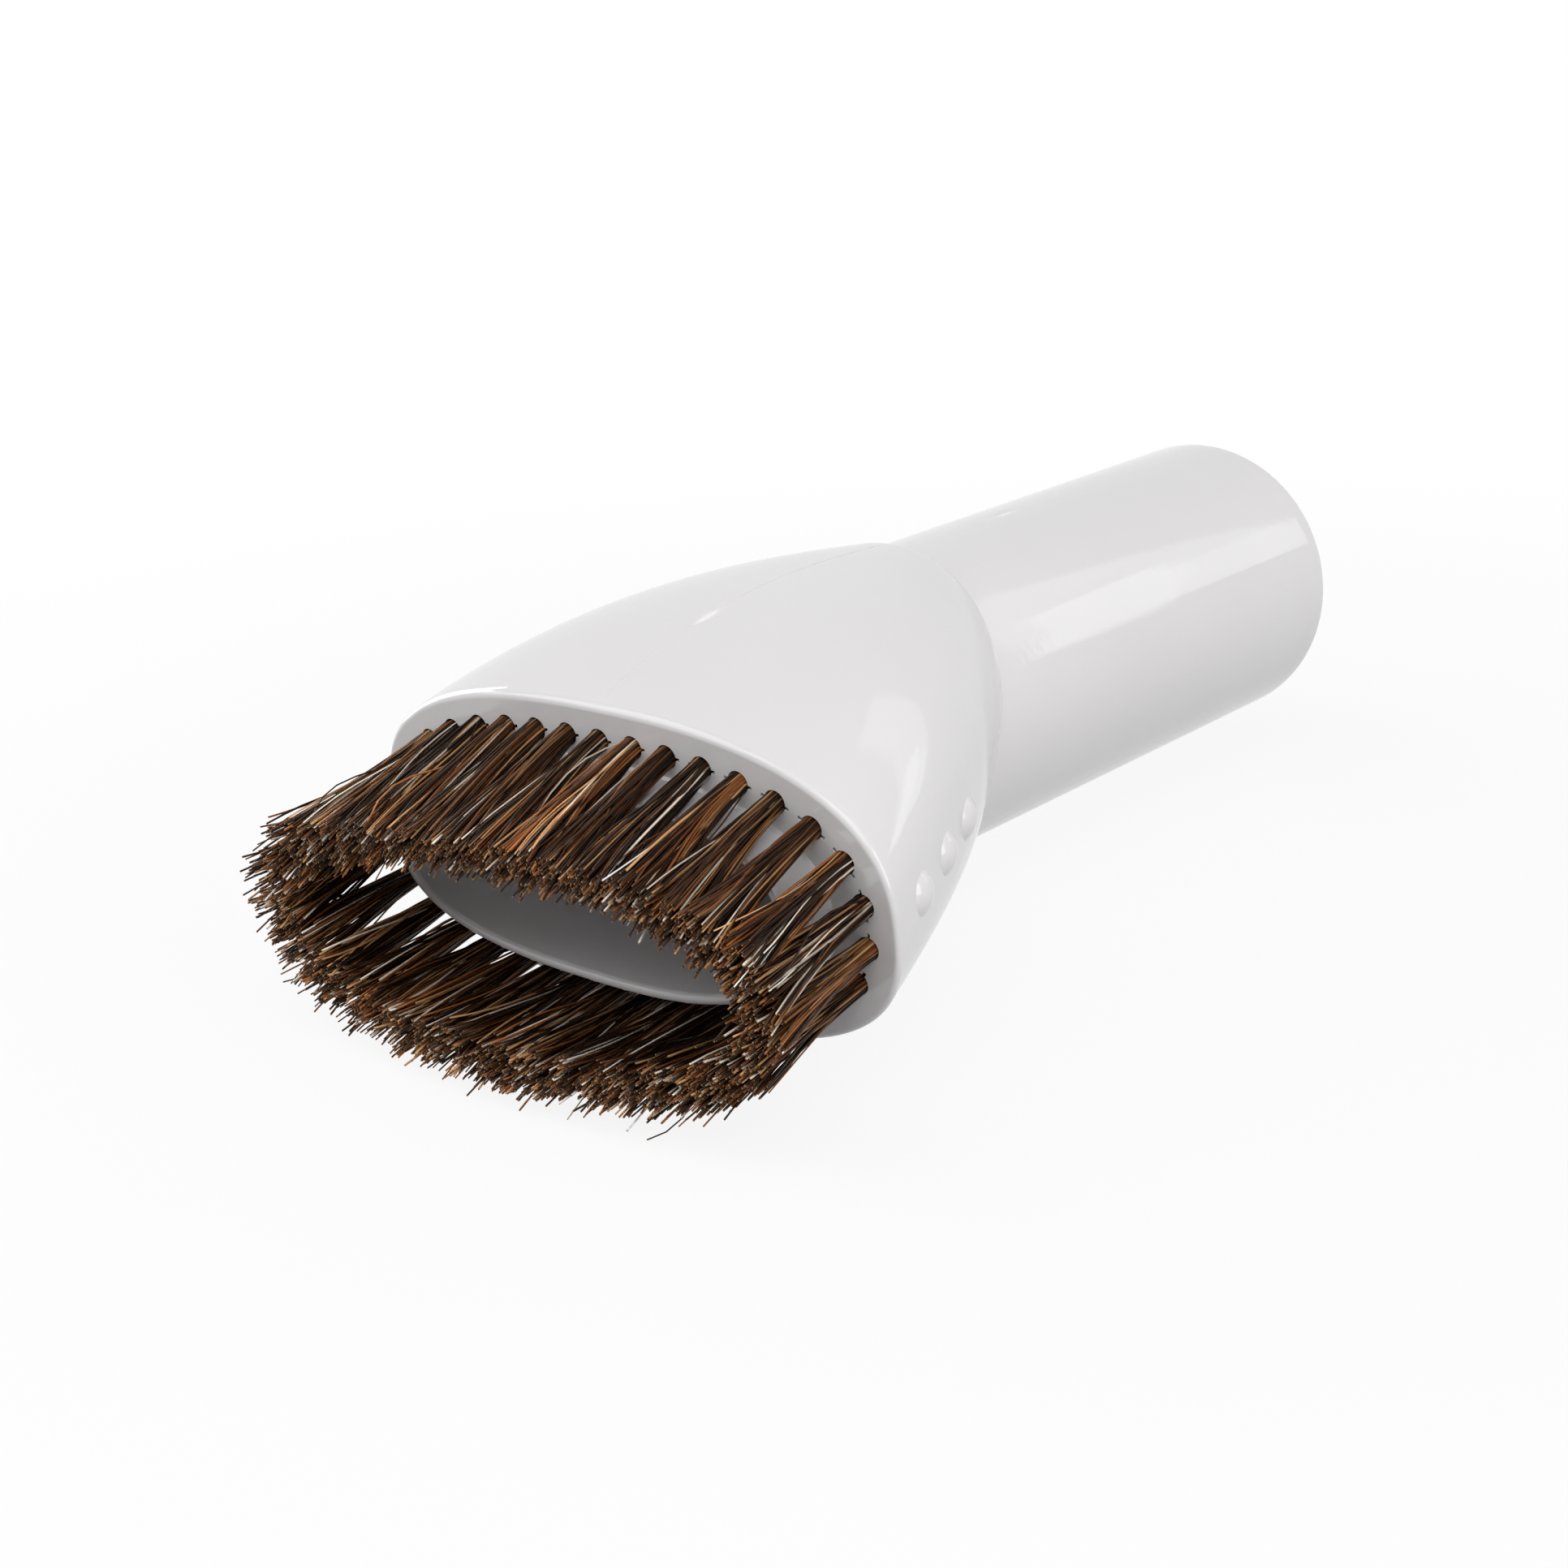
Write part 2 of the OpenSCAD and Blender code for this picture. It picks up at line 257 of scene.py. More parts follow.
def lip_rings(rim_edge):
    """Bristle face from the rim's edge, then the lip's side, end and inner edge."""
    foot = face_ring(LIP_DRAFT + LIP_FOOT_R)
    rings = [mix(s, rim_edge, foot) for s in FACE_SHARES]
    end_x = MOUTH[0] - LIP_REACH
    side = face_ring(LIP_DRAFT)
    side[:, 0] -= LIP_FOOT_R
    edge = lip_ring(end_x + LIP_END_R, 0.0)
    rings += [mix(s, side, edge) for s in LIP_SHARES]
    rings += [lip_ring(end_x + back, down) for back, down in quarter_back(4, LIP_END_R)]
    rings += [lip_ring(end_x + back, LIP_WALL - down) for back, down in quarter(6, LIP_MOUTH_R)]
    return rings


def inner_rings():
    """Duct from the lip's root, then the throat and the wand's socket."""
    rings = []
    for i in range(DUCT_STEPS + 1):
        s = i / DUCT_STEPS
        x = mix(s, MOUTH[0] + RIM_ROUND, -NECK_LEN)
        a = ease(s, LIP_A - LIP_WALL, THROAT_R, 0, 0)
        b = ease(s, LIP_B - LIP_WALL, THROAT_R, 0, 0)
        plane = (x, ease(s, MOUTH[1], 0, 0, 0), 0.0)
        rings.append(oval_ring(plane, a, b, mix(s, OVAL_POWER, 2)))
    for i in range(1, BORE_STEPS + 1):
        rings.append(round_ring(mix(i / BORE_STEPS, -NECK_LEN, -SOCKET_DEPTH), THROAT_R))
    for i in range(BORE_STEPS + 1):
        rings.append(round_ring(mix(i / BORE_STEPS, -SOCKET_DEPTH, -SOCKET_EDGE), SOCKET_R))
    rings.append(round_ring(0.0, SOCKET_R + SOCKET_FLARE))
    return rings


def body_rings():
    outer = outer_rings()
    return np.array(outer + lip_rings(outer[-1]) + inner_rings())


def ring_normals(rings):
    along = np.roll(rings, -1, axis=0) - np.roll(rings, 1, axis=0)
    across = np.roll(rings, -1, axis=1) - np.roll(rings, 1, axis=1)
    n = np.cross(across, along)
    return n / np.maximum(np.linalg.norm(n, axis=2, keepdims=True), 1e-9)


def raise_seam(rings):
    """Raises the mould's parting line over the head, and the low marks of its gates."""
    x, y, z = np.moveaxis(rings, 2, 0)
    number = np.arange(len(rings))[:, None]
    start = np.clip(-x - NECK_LEN + SEAM_PAST_COLLAR, 0, 1)
    stop = np.clip((x - MOUTH[0] + SEAM_PAST_MOUTH) / SEAM_FADE, 0, 1)
    on_head = start * stop * (number >= SEAM_FIRST_RING)
    ridge = SEAM_RISE * np.exp(-((SEAM_OFF / SEAM_HALF_W) ** 2))[None, :] * on_head
    for place, rise, half_l, half_w in GATES:
        along, across = (x - place) / half_l, y / half_w
        ridge = ridge + (z > 0) * rise * np.exp(-(along**2) - across**2)
    return rings + (ridge * (number < OUTSIDE_RINGS))[:, :, None] * ring_normals(rings)


def link_object(name, mesh):
    obj = bpy.data.objects.new(name, mesh)
    bpy.context.collection.objects.link(obj)
    return obj


def mesh_object(name, verts, faces):
    mesh = bpy.data.meshes.new(name)
    mesh.from_pydata(verts, [], faces)
    mesh.update()
    smooth(mesh)
    return link_object(name, mesh)


def bmesh_object(name, bm):
    mesh = bpy.data.meshes.new(name)
    bm.normal_update()
    bm.to_mesh(mesh)
    bm.free()
    return link_object(name, mesh)


def smooth(mesh):
    for polygon in mesh.polygons:
        polygon.use_smooth = True


def closed_rings(rings):
    """Points and faces of rings that join up, the last one with the first."""
    levels, columns, _ = rings.shape
    i = np.arange(levels)[:, None]
    j = np.arange(columns)[None, :]
    i2, j2 = (i + 1) % levels, (j + 1) % columns
    quads = np.stack(
        [i * columns + j, i * columns + j2, i2 * columns + j2, i2 * columns + j], axis=2
    )
    return (rings.reshape(-1, 3) * MM).tolist(), quads.reshape(-1, 4).tolist()


# The row of tufts
ROW_A, ROW_B = MOUTH_A - ROW_INSET, MOUTH_B - ROW_INSET
ROW_STEPS = 1440


def row_tables():
    """Length along the row, from the top middle, against its points and outward ways."""
    t = np.radians(90 + np.arange(ROW_STEPS + 1) * 360 / ROW_STEPS)
    c, s = np.cos(t), np.sin(t)
    e = 2 / OVAL_POWER
    p = np.stack(
        [ROW_A * np.sign(c) * np.abs(c) ** e, ROW_B * np.sign(s) * np.abs(s) ** e], axis=1
    )
    g = np.stack(
        [np.sign(c) * np.abs(c) ** (2 - e) / ROW_A, np.sign(s) * np.abs(s) ** (2 - e) / ROW_B],
        axis=1,
    )
    out = g / np.linalg.norm(g, axis=1, keepdims=True)
    run = np.concatenate([[0], np.cumsum(np.linalg.norm(np.diff(p, axis=0), axis=1))])
    return run, p, out


ROW_RUN, ROW_POINTS, ROW_OUT = row_tables()
ROW_LEN = ROW_RUN[-1]
TUFT_STEP = ROW_LEN / TUFT_COUNT


def row_at(run):
    """Points of the row and its outward ways, at lengths along it."""
    run = np.mod(run, ROW_LEN)
    p = np.stack([np.interp(run, ROW_RUN, ROW_POINTS[:, k]) for k in (0, 1)], axis=-1)
    o = np.stack([np.interp(run, ROW_RUN, ROW_OUT[:, k]) for k in (0, 1)], axis=-1)
    return p, o / np.linalg.norm(o, axis=-1, keepdims=True)


def tuft_axes(index):
    """A tuft's middle on the face, and the face's ways out across and along the row."""
    p, o = row_at(np.array([(index - 1) * TUFT_STEP]))
    return p[0], o[0], np.array([-o[0][1], o[0][0]])


def face_point(p):
    return Vector(on_plane(MOUTH, np.atleast_2d(p))[0]) * MM


def face_cutters(name, depth, past, add_one):
    """One cutter for each tuft, square to the face: depth deep in it and past it outside."""
    bm = bmesh.new()
    normal = Vector(FACE_NORMAL)
    for index in range(1, TUFT_COUNT + 1):
        p, out, along = tuft_axes(index)
        middle = face_point(p)
        x = (face_point(p + along) - middle).normalized()
        y = (face_point(p + out) - middle).normalized()
        turn = Matrix((x, y, normal)).transposed().to_4x4()
        place = Matrix.Translation(middle - normal * (depth - past) / 2) @ turn
        add_one(bm, place, depth + past)
    return bmesh_object(name, bm)


def hole_cutter(bm, place, length):
    bmesh.ops.create_cone(
        bm,
        cap_ends=True,
        segments=32,
        radius1=TUFT_HOLE_R * MM,
        radius2=TUFT_HOLE_R * MM,
        depth=length,
        matrix=place,
    )


def slit_cutter(bm, place, length):
    size = Matrix.Diagonal((SLIT_W * MM, SLIT_T * MM, length, 1))
    bmesh.ops.create_cube(bm, size=1, matrix=place @ size)


def bump_balls():
    ball_r = (BUMP_R**2 + BUMP_RISE**2) / (2 * BUMP_RISE)
    bm = bmesh.new()
    for side in (-1, 1):
        for i in range(BUMP_COUNT):
            s = 1 - (BUMP_START + i * BUMP_PITCH) / HEAD_LEN
            plane = head_plane(s)
            y = side * (head_half_w(s) + BUMP_RISE - ball_r)
            place = Matrix.Translation(Vector((plane[0], y, plane[1])) * MM)
            bmesh.ops.create_uvsphere(
                bm, u_segments=96, v_segments=48, radius=ball_r * MM, matrix=place
            )
    return bmesh_object("bump_balls", bm)


def combine(obj, other, operation):
    mod = obj.modifiers.new(operation.lower(), "BOOLEAN")
    mod.operation = operation
    mod.object = other
    mod.solver = "EXACT"
    dg = bpy.context.evaluated_depsgraph_get()
    mesh = bpy.data.meshes.new_from_object(obj.evaluated_get(dg))
    obj.modifiers.clear()
    obj.data = mesh
    bpy.data.objects.remove(other, do_unlink=True)


def colour_layer(obj, name, rgba):
    layer = obj.data.color_attributes.new(name, "FLOAT_COLOR", "POINT")
    layer.data.foreach_set("color", rgba.reshape(-1))


def paint_gate_highlights(obj):
    """Paints a highlight on the gates' marks, as a colour layer for the plastic's look."""
    place = np.zeros(len(obj.data.vertices) * 3)
    obj.data.vertices.foreach_get("co", place)
    x, y, z = place.reshape(-1, 3).T / MM
    highlight_share = np.zeros(len(x))
    for middle, _, half_l, half_w in GATES:
        away = ((x - middle) / half_l) ** 2 + (y / half_w) ** 2
        highlight_share = np.maximum(highlight_share, (z > 0) * np.clip(HIGHLIGHT_GAIN * np.exp(-away) - HIGHLIGHT_CUT, 0, 1))
    colour_layer(obj, "gate_painted_highlight", np.repeat(highlight_share[:, None], 4, axis=1))


# Materials
def new_material(name):
    mat = bpy.data.materials.new(name)
    mat.use_nodes = True
    nodes, links = mat.node_tree.nodes, mat.node_tree.links
    return mat, nodes, links, nodes["Principled BSDF"]


def noise_node(nodes, links, scale, detail=4.0, roughness=0.55):
    coords = nodes.new("ShaderNodeTexCoord")
    noise = nodes.new("ShaderNodeTexNoise")
    noise.inputs["Scale"].default_value = scale
    noise.inputs["Detail"].default_value = detail
    noise.inputs["Roughness"].default_value = roughness
    links.new(coords.outputs["Object"], noise.inputs["Vector"])
    return noise.outputs["Fac"]


def ramp_node(nodes, links, source, stops):
    ramp = nodes.new("ShaderNodeValToRGB")
    elements = ramp.color_ramp.elements
    while len(elements) < len(stops):
        elements.new(0.5)
    for element, (place, colour) in zip(elements, stops):
        element.position = place
        element.color = (*colour, 1)
    links.new(source, ramp.inputs["Fac"])
    return ramp.outputs["Color"]


def range_node(nodes, links, source, low, high):
    node = nodes.new("ShaderNodeMapRange")
    node.inputs["To Min"].default_value = low
    node.inputs["To Max"].default_value = high
    links.new(source, node.inputs["Value"])
    return node.outputs["Result"]


def roughen(nodes, links, source, shader, low, high):
    rough = range_node(nodes, links, source, low, high)
    links.new(rough, shader.inputs["Roughness"])


def bump_node(nodes, links, source, shader, strength, distance):
    bump = nodes.new("ShaderNodeBump")
    bump.inputs["Strength"].default_value = strength
    bump.inputs["Distance"].default_value = distance
    links.new(source, bump.inputs["Height"])
    links.new(bump.outputs["Normal"], shader.inputs["Normal"])


def layer_node(nodes, name):
    node = nodes.new("ShaderNodeVertexColor")
    node.layer_name = name
    return node.outputs["Color"]


def plastic_material():
    """Pale glossy plastic, with a painted highlight in near white over the gates' marks."""
    mat, nodes, links, shader = new_material("gloss_plastic")
    broad = noise_node(nodes, links, scale=28.0, detail=3.0)
    stops = [(0.3, (0.765, 0.750, 0.757)), (0.7, (0.795, 0.780, 0.787))]
    tone = ramp_node(nodes, links, broad, stops)
    # Painted highlight: near white mixed in where the gates' marks are
    highlit = nodes.new("ShaderNodeMix")
    highlit.data_type = "RGBA"
    share, plain, highlight_colour = (highlit.inputs[place] for place in (0, 6, 7))
    highlight_colour.default_value = (0.97, 0.96, 0.95, 1)
    links.new(layer_node(nodes, "gate_painted_highlight"), share)
    links.new(tone, plain)
    links.new(highlit.outputs[2], shader.inputs["Base Color"])
    fine = noise_node(nodes, links, scale=260.0, detail=5.0, roughness=0.6)
    roughen(nodes, links, fine, shader, low=0.03, high=0.07)
    ripple = noise_node(nodes, links, scale=900.0, detail=2.0, roughness=0.5)
    bump_node(nodes, links, ripple, shader, strength=0.05, distance=0.0002)
    shader.inputs["IOR"].default_value = 1.5
    return mat


def bristle_material():
    mat, nodes, links, shader = new_material("bristle_hair")
    streak = noise_node(nodes, links, scale=1400.0, detail=3.0)
    shade = range_node(nodes, links, streak, low=0.6, high=1.4)
    scaled = nodes.new("ShaderNodeVectorMath")
    scaled.operation = "SCALE"
    links.new(layer_node(nodes, "hair_tint_and_shade"), scaled.inputs[0])
    links.new(shade, scaled.inputs["Scale"])
    links.new(scaled.outputs["Vector"], shader.inputs["Base Color"])
    roughen(nodes, links, streak, shader, low=0.24, high=0.42)
    bump_node(nodes, links, streak, shader, strength=0.25, distance=0.0001)
    shader.inputs["IOR"].default_value = 1.45
    shader.inputs["Specular IOR Level"].default_value = 0.25
    shader.inputs["Specular Tint"].default_value = (1.0, 0.72, 0.5, 1)
    return mat


def cut_end_material():
    mat, nodes, links, shader = new_material("bristle_cut_end")
    grain = noise_node(nodes, links, scale=2600.0, detail=2.0)
    stops = [
        (0.35, (0.10, 0.042, 0.014)),
        (0.52, (0.36, 0.17, 0.065)),
        (0.7, (0.62, 0.40, 0.22)),
    ]
    links.new(ramp_node(nodes, links, grain, stops), shader.inputs["Base Color"])
    roughen(nodes, links, grain, shader, low=0.45, high=0.65)
    bump_node(nodes, links, grain, shader, strength=0.2, distance=0.0001)
    shader.inputs["Specular IOR Level"].default_value = 0.25
    return mat


def metal_material():
    mat, nodes, links, shader = new_material("anchor_wire")
    streak = noise_node(nodes, links, scale=2200.0, detail=4.0)
    stops = [(0.3, (0.42, 0.4, 0.37)), (0.7, (0.56, 0.54, 0.5))]
    links.new(ramp_node(nodes, links, streak, stops), shader.inputs["Base Color"])
    shader.inputs["Metallic"].default_value = 1.0
    roughen(nodes, links, streak, shader, low=0.25, high=0.45)
    bump_node(nodes, links, streak, shader, strength=0.1, distance=0.0001)
    return mat


# Hair. Values are in millimetres, unless they are counts, shares, powers or shades.
HAIRS, HAIR_SEGMENTS, HAIR_SIDES, CLUMPS = 165, 9, 5, 9
HAIR_THIN, HAIR_THICK, HAIR_TAPER = 0.085, 0.15, 0.15
ROOT_DEPTH, ROOT_MARGIN = 2.4, 0.1
TIP_HALF_W = 3.4
# How far tips spread out of the row and into it: lower side, upper side and narrow ends
TIP_OUT = (2.7, 2.0, 4.1)
TIP_IN = (3.7, 2.7, 3.8)
# How far tips lean down: all tufts, more for those above the lower side, more again for the
# upper side and its far half, and less at the near end
LEAN, LEAN_HIGHER, LEAN_UPPER, LEAN_FAR, LEAN_NEAR = 0.2, 1.0, 3.8, 1.2, 0.9
# How far tips hang down in a curve, and the upper side's shift along the row
SAG, SAG_FAR, DRIFT = 0.3, 0.9, 1.4
LONGER_FAR, SHORTER_NEAR, SHORTER_UPPER = 0.7, 2.8, 1.7
SPREAD_POWER, DRIFT_POWER = 1.9, 1.5
# Spread of the hairs' own lengths, the share of broken ones, and the share of strays
LENGTH_MEAN, LENGTH_SPREAD = -0.35, 0.45
BROKEN_SHARE, BROKEN_BY = 0.04, 4.0
STRAY_SHARE, STRAY_GAIN = 0.006, 4.0
# Scatter of the roots, the tips, the bends and the droops
ROOT_SCATTER, TIP_SCATTER, BEND_SCATTER, DROOP_SCATTER = 0.02, 0.22, 0.36, 0.35
# Reach of the clumps' middles, and the largest share of the way that a tip is drawn to one
CLUMP_REACH, CLUMP_PULL = 0.95, 0.8
# Weights of a hair's single and double bend, and the power that sets its levels
SINGLE_BEND, DOUBLE_BEND, LEVEL_POWER = 1.5, 0.4, 0.95
# Brightness by hair and by clump, and painted shade, darker from the tip to the root
HAIR_SHADES, CLUMP_SHADES = (0.6, 1.4), (0.5, 1.45)
PAINTED_ROOT_SHADE, PAINTED_TIP_GAIN = 0.62, 0.5
HAIR_SEED = 1000
# Share and colour of each kind of hair
PALETTE = (
    (0.40, (0.015, 0.007, 0.004)),
    (0.24, (0.080, 0.027, 0.010)),
    (0.18, (0.250, 0.088, 0.025)),
    (0.11, (0.520, 0.280, 0.120)),
    # The palest kind: real pale hairs, and in part painted highlight for the hairs' sheen
    (0.07, (0.850, 0.740, 0.620)),
)


def hair_colours(rng, clump):
    """A colour for each hair, brighter or darker by hair and by clump."""
    count = len(clump)
    shares = np.cumsum([share for share, _ in PALETTE])
    picks = np.searchsorted(shares / shares[-1], rng.random_sample(count))
    colours = np.array([colour for _, colour in PALETTE])[np.minimum(picks, len(PALETTE) - 1)]
    colours = colours * rng.uniform(*HAIR_SHADES, (count, 1))
    return colours * rng.uniform(*CLUMP_SHADES, CLUMPS)[clump][:, None]


def tuft_habit(index):
    """A tuft's lean, sag, drift, length and spread, from its place in the row."""
    middle, out, _ = tuft_axes(index)
    far = middle[0] / ROW_A
    upper = min(max(middle[1] / ROW_B, 0), 1)
    lower = min(max(-middle[1] / ROW_B, 0), 1)
    end = abs(out[0])
    near = max(-far, 0) * (1 - upper)
    lean = LEAN + LEAN_HIGHER * (1 - lower) + upper * (LEAN_UPPER + LEAN_FAR * far)
    lean -= LEAN_NEAR * near
    sag = SAG + SAG_FAR * upper * max(far, 0)
    length = BRISTLE_LEN + LONGER_FAR * far - SHORTER_NEAR * near - SHORTER_UPPER * upper
    reach_out = mix(end, mix(upper, TIP_OUT[0], TIP_OUT[1]), TIP_OUT[2])
    reach_in = mix(end, mix(upper, TIP_IN[0], TIP_IN[1]), TIP_IN[2])
    return lean, sag, DRIFT * upper, length, reach_out, reach_in


def hair_paths(index):
    """Middle lines of one tuft's hairs, as heights off the face and places on it."""
    rng = np.random.RandomState(HAIR_SEED + index)
    lean, sag, drift, full_length, reach_out, reach_in = tuft_habit(index)
    # Roots, in an even spiral over the hole
    golden = math.pi * (3 - math.sqrt(5))
    order = np.arange(HAIRS)
    radius = np.sqrt((order + 0.5) / HAIRS)
    turn = order * golden + rng.uniform(0, 2 * math.pi)
    disc = np.stack([radius * np.cos(turn), radius * np.sin(turn)], axis=1)
    base = disc * (TUFT_R - ROOT_MARGIN) + rng.normal(0, ROOT_SCATTER, disc.shape)
    # Tips: each hair's own place in the spread, drawn part of the way to its clump
    own = disc + rng.normal(0, TIP_SCATTER, disc.shape)
    centres = rng.uniform(-CLUMP_REACH, CLUMP_REACH, (CLUMPS, 2))
    clump = np.argmin(((own[:, None] - centres[None]) ** 2).sum(2), axis=1)
    pull = rng.uniform(0.0, CLUMP_PULL, (HAIRS, 1))
    tip = own * (1 - pull) + centres[clump] * pull
    tip[:, 0] *= TIP_HALF_W
    tip[:, 1] *= np.where(tip[:, 1] > 0, reach_out, reach_in)
    length = full_length + rng.normal(LENGTH_MEAN, LENGTH_SPREAD, HAIRS)
    broken = rng.random_sample(HAIRS) < BROKEN_SHARE
    length -= BROKEN_BY * broken * rng.random_sample(HAIRS)
    # Bends, larger for the few strays, and each hair's own droop
    wander = rng.normal(0, BEND_SCATTER, (HAIRS, 2, 2))
    strays = rng.random_sample(HAIRS) < STRAY_SHARE
    wander[strays] *= STRAY_GAIN
    droop = sag + rng.normal(0, DROOP_SCATTER, HAIRS)
    # Lines from the roots to the tips
    s = np.linspace(0, 1, HAIR_SEGMENTS + 1) ** LEVEL_POWER
    h = -ROOT_DEPTH + (length[:, None] + ROOT_DEPTH) * s[None]
    share = np.clip(h / BRISTLE_LEN, 0, None)
    spread = share**SPREAD_POWER
    side = base[:, None] + (tip - base)[:, None] * spread[:, :, None]
    bend = (share * np.sin(math.pi * share))[:, :, None] * wander[:, None, 0] * SINGLE_BEND
    bend += np.sin(2 * math.pi * share)[:, :, None] * wander[:, None, 1] * DOUBLE_BEND
    side = side + bend
    side[..., 0] += drift * share**DRIFT_POWER
    # On the face, straight at the root and bent along the row towards the tip
    middle, out, along = tuft_axes(index)
    flat = middle + side[..., :1] * along + side[..., 1:] * out
    bent, bent_out = row_at((index - 1) * TUFT_STEP + side[..., 0])
    bent = bent + side[..., 1:] * bent_out
    blend = np.clip(spread, 0, 1)[..., None]
    place = flat * (1 - blend) + bent * blend
    place[..., 1] -= lean * share + droop[:, None] * share**2
    return rng, h, place, clump


def hair_object(index):
    """One tuft's hairs, each a closed rod with a cut end and its own tint, in painted shade at
    the root.
    """
    rng, h, place, clump = hair_paths(index)
    count, levels = h.shape
    middle = (
        FACE_MIDDLE
        + place[..., :1] * FACE_ACROSS
        + place[..., 1:] * FACE_UP
        + h[..., None] * FACE_NORMAL
    )
    share = np.linspace(0, 1, levels)
    thick = rng.uniform(HAIR_THIN, HAIR_THICK, (count, 1)) * (1 - HAIR_TAPER * share[None])
    turn = rng.uniform(0, 2 * math.pi, (count, 1, 1))
    corner = np.arange(HAIR_SIDES) * 2 * math.pi / HAIR_SIDES
    c = np.cos(corner[None, None] + turn) * thick[..., None]
    s = np.sin(corner[None, None] + turn) * thick[..., None]
    verts = middle[:, :, None] + c[..., None] * FACE_ACROSS + s[..., None] * FACE_UP
    first = np.arange(count)[:, None, None] * levels * HAIR_SIDES
    level = np.arange(levels - 1)[None, :, None] * HAIR_SIDES
    k = np.arange(HAIR_SIDES)[None, None]
    a, b = first + level + k, first + level + (k + 1) % HAIR_SIDES
    sides = np.stack([a, b, b + HAIR_SIDES, a + HAIR_SIDES], axis=-1).reshape(-1, 4)
    start = np.arange(count)[:, None] * levels * HAIR_SIDES
    foot = start + np.arange(HAIR_SIDES)[::-1]
    end = start + (levels - 1) * HAIR_SIDES + np.arange(HAIR_SIDES)
    faces = sides.tolist() + foot.tolist() + end.tolist()
    obj = mesh_object(f"bristle_tuft_{index:02d}", (verts.reshape(-1, 3) * MM).tolist(), faces)
    # Painted shade: each hair darker towards its root, where the tuft is dense
    fade = PAINTED_ROOT_SHADE + PAINTED_TIP_GAIN * share**2
    shaded_tints = hair_colours(rng, clump)[:, None] * fade[None, :, None]
    shaded_tints = np.repeat(shaded_tints[:, :, None], HAIR_SIDES, axis=2)
    rgba = np.ones((count * levels * HAIR_SIDES, 4))
    rgba[:, :3] = np.clip(shaded_tints.reshape(-1, 3), 0, 1)
    colour_layer(obj, "hair_tint_and_shade", rgba)
    obj.data.materials.append(bristle)
    obj.data.materials.append(cut_ends)
    which = np.zeros(len(faces), dtype=np.int32)
    which[-count:] = 1
    obj.data.polygons.foreach_set("material_index", which)
    return obj


# The pieces
plastic = plastic_material()
bristle = bristle_material()
cut_ends = cut_end_material()
metal = metal_material()

body = mesh_object("moulded_body", *closed_rings(raise_seam(body_rings())))
holes = face_cutters("hole_cutters", HOLE_DEPTH * MM, HOLE_PAST * MM, hole_cutter)
slits = face_cutters("slit_cutters", SLIT_DEPTH * MM, SLIT_PAST * MM, slit_cutter)
combine(body, bump_balls(), "UNION")
combine(body, holes, "DIFFERENCE")
combine(body, slits, "DIFFERENCE")
smooth(body.data)
body.data.set_sharp_from_angle(angle=math.radians(40))
body.data.materials.clear()
body.data.materials.append(plastic)
paint_gate_highlights(body)
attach(body, "root")
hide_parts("body")

for number in range(1, TUFT_COUNT + 1):
    tuft = hair_object(number)
    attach(tuft, "root")
    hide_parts(f"tuft_{number:02d}")

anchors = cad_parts["tuft_anchors"]
for material_slot in anchors.material_slots:
    material_slot.material = metal

# Floor, lamps, world and camera, in metres
CENTRE = Vector((-0.072, 0.0, -0.002))
FLOOR_GAP, FLOOR_HALF = 0.0005, 6.0
FLOOR_LIT, FLOOR_SEEN = 0.4, 0.9
GLOW_NEAR, GLOW_NEAR_AT, GLOW_FAR_AT = 0.88, 0.09, 0.30
AMBIENT = 0.12
WHITE = (1, 1, 1, 1)


def seen_ray(nodes, links):
    """1 for a camera, glossy or transmission ray, and 0 for any other."""
    path = nodes.new("ShaderNodeLightPath")
    total = path.outputs["Is Camera Ray"]
    for name in ("Is Glossy Ray", "Is Transmission Ray"):
        larger = nodes.new("ShaderNodeMath")
        larger.operation = "MAXIMUM"
        links.new(total, larger.inputs[0])
        links.new(path.outputs[name], larger.inputs[1])
        total = larger.outputs["Value"]
    return total


def floor_material():
    """Pale paper that glows white away from the object and takes its shadow near it."""
    mat, nodes, links, shader = new_material("floor_paper")
    path = nodes.new("ShaderNodeLightPath")
    tone = range_node(nodes, links, path.outputs["Is Camera Ray"], FLOOR_LIT, FLOOR_SEEN)
    links.new(tone, shader.inputs["Base Color"])
    shader.inputs["Roughness"].default_value = 0.9
    shader.inputs["Specular IOR Level"].default_value = 0.1
    coords = nodes.new("ShaderNodeTexCoord")
    length = nodes.new("ShaderNodeVectorMath")
    length.operation = "LENGTH"
    links.new(coords.outputs["Object"], length.inputs[0])
    fade = nodes.new("ShaderNodeMapRange")
    fade.inputs["From Min"].default_value = GLOW_NEAR_AT
    fade.inputs["From Max"].default_value = GLOW_FAR_AT
    fade.inputs["To Min"].default_value = GLOW_NEAR
    fade.inputs["To Max"].default_value = 1.0
    links.new(length.outputs["Value"], fade.inputs["Value"])
    factor = nodes.new("ShaderNodeMath")
    factor.operation = "MULTIPLY"
    links.new(fade.outputs["Result"], factor.inputs[0])
    links.new(seen_ray(nodes, links), factor.inputs[1])
    glow = nodes.new("ShaderNodeEmission")
    glow.inputs["Color"].default_value = WHITE
    glow.inputs["Strength"].default_value = 1.0
    blend = nodes.new("ShaderNodeMixShader")
    links.new(factor.outputs["Value"], blend.inputs["Fac"])
    links.new(shader.outputs["BSDF"], blend.inputs[1])
    links.new(glow.outputs["Emission"], blend.inputs[2])
    links.new(blend.outputs["Shader"], nodes["Material Output"].inputs["Surface"])
    return mat


def make_floor():
    bm = bmesh.new()
    bmesh.ops.create_grid(bm, x_segments=4, y_segments=4, size=FLOOR_HALF)
    floor = bmesh_object("floor", bm)
    floor.location = (CENTRE.x, CENTRE.y, cad_box[0].z - FLOOR_GAP)
    floor.data.materials.append(floor_material())


